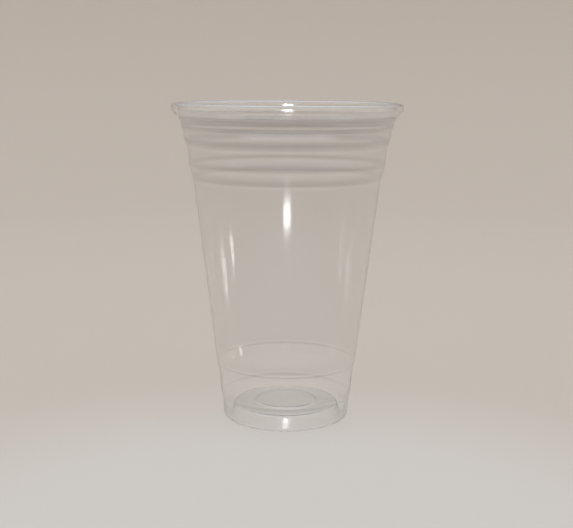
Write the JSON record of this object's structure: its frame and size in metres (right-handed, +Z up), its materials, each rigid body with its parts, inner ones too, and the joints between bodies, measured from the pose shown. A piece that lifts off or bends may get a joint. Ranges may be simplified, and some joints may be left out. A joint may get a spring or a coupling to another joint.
{
  "type": "plastic cup",
  "caption": "Clear disposable cold-drink cup in thin plastic: tapered wall with stepped shoulders, raised floor in a foot ring, and a curled lip round an open mouth.",
  "frame": {"origin": "centre of the circle that the cup stands on, in the plane of the foot ring", "axes": "+Z up along the cup's axis towards the open mouth; the cup is round, so X and Y are any two level directions"},
  "size_m": [0.098, 0.098, 0.136],
  "materials": {
    "clear_plastic": "clear, colourless and glossy thin sheet, faintly rippled by forming, with bright edges at the lip, shoulders and foot ring"
  },
  "bodies": {
    "root": {"cup": "clear_plastic"}
  },
  "joints": []
}
